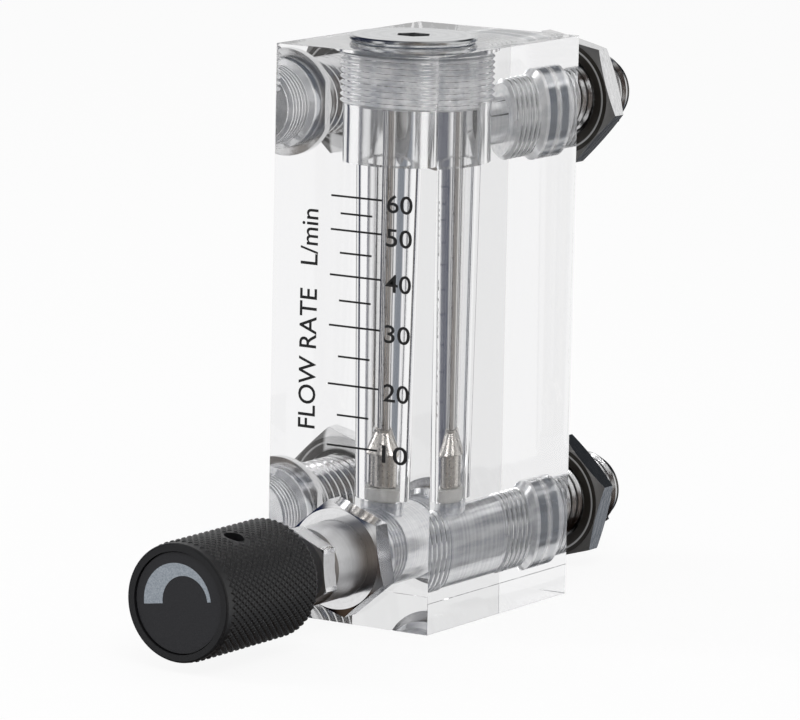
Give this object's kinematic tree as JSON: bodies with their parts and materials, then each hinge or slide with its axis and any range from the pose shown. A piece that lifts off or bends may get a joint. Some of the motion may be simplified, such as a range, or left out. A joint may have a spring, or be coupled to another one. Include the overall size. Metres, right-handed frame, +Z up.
{
  "type": "rotameter",
  "caption": "Panel-mounted variable-area flow meter: a clear block with a float on a rod in a tapered tube, a knurled needle-valve knob in front and threaded studs behind.",
  "frame": {"origin": "centre of the block's foot", "axes": "+Z up along the float's tube, +Y from the scale face towards the studs, +X to the right as the scale is read"},
  "size_m": [0.048, 0.1943, 0.1468],
  "materials": {
    "clear_acrylic": "clear, polished",
    "plug_metal": "plated, satin",
    "bright_chrome": "bright plated",
    "stud_metal": "plated",
    "turned_steel": "turned, bright",
    "white_seat": "satin",
    "seal_rubber": "matte",
    "black_aluminium": "black anodised, knurled",
    "black_cap": "satin",
    "black_steel": "blackened"
  },
  "bodies": {
    "housing": {"meter_block": "clear_acrylic", "top_plug": "plug_metal", "top_plug_seal": "seal_rubber", "guide_rod": "turned_steel", "float_seat": "white_seat", "outlet_fitting": "stud_metal", "outlet_oring": "seal_rubber", "outlet_nut": "stud_metal", "inlet_fitting": "stud_metal", "orifice_seat": "turned_steel", "inlet_oring": "seal_rubber", "inlet_nut": "stud_metal", "valve_bonnet": "bright_chrome", "bonnet_oring": "seal_rubber", "stem_packing": "white_seat", "gland_nut": "bright_chrome"},
    "float": {"float": "turned_steel"},
    "stem": {"valve_stem": "turned_steel", "stem_oring": "seal_rubber"},
    "knob": {"knob": "black_aluminium", "knob_cap": "black_cap", "knob_set_screw": "black_steel"}
  },
  "joints": [
    {"name": "float_lift", "type": "slide", "parent": "housing", "child": "float", "axis": [0, 0, 1], "range_m": [0, 0.082]},
    {"name": "stem_travel", "type": "slide", "parent": "housing", "child": "stem", "axis": [0, -1, 0], "range_m": [0, 0.00501]},
    {"name": "knob_turn", "type": "hinge", "parent": "stem", "child": "knob", "pos_m": [0, -0.0888, 0.0175], "axis": [0, -1, 0], "range_deg": [0, 1440]}
  ],
  "couplings": [
    {"joint": "stem_travel", "follows": "knob_turn", "m_per_rad": 0.00019894}
  ]
}
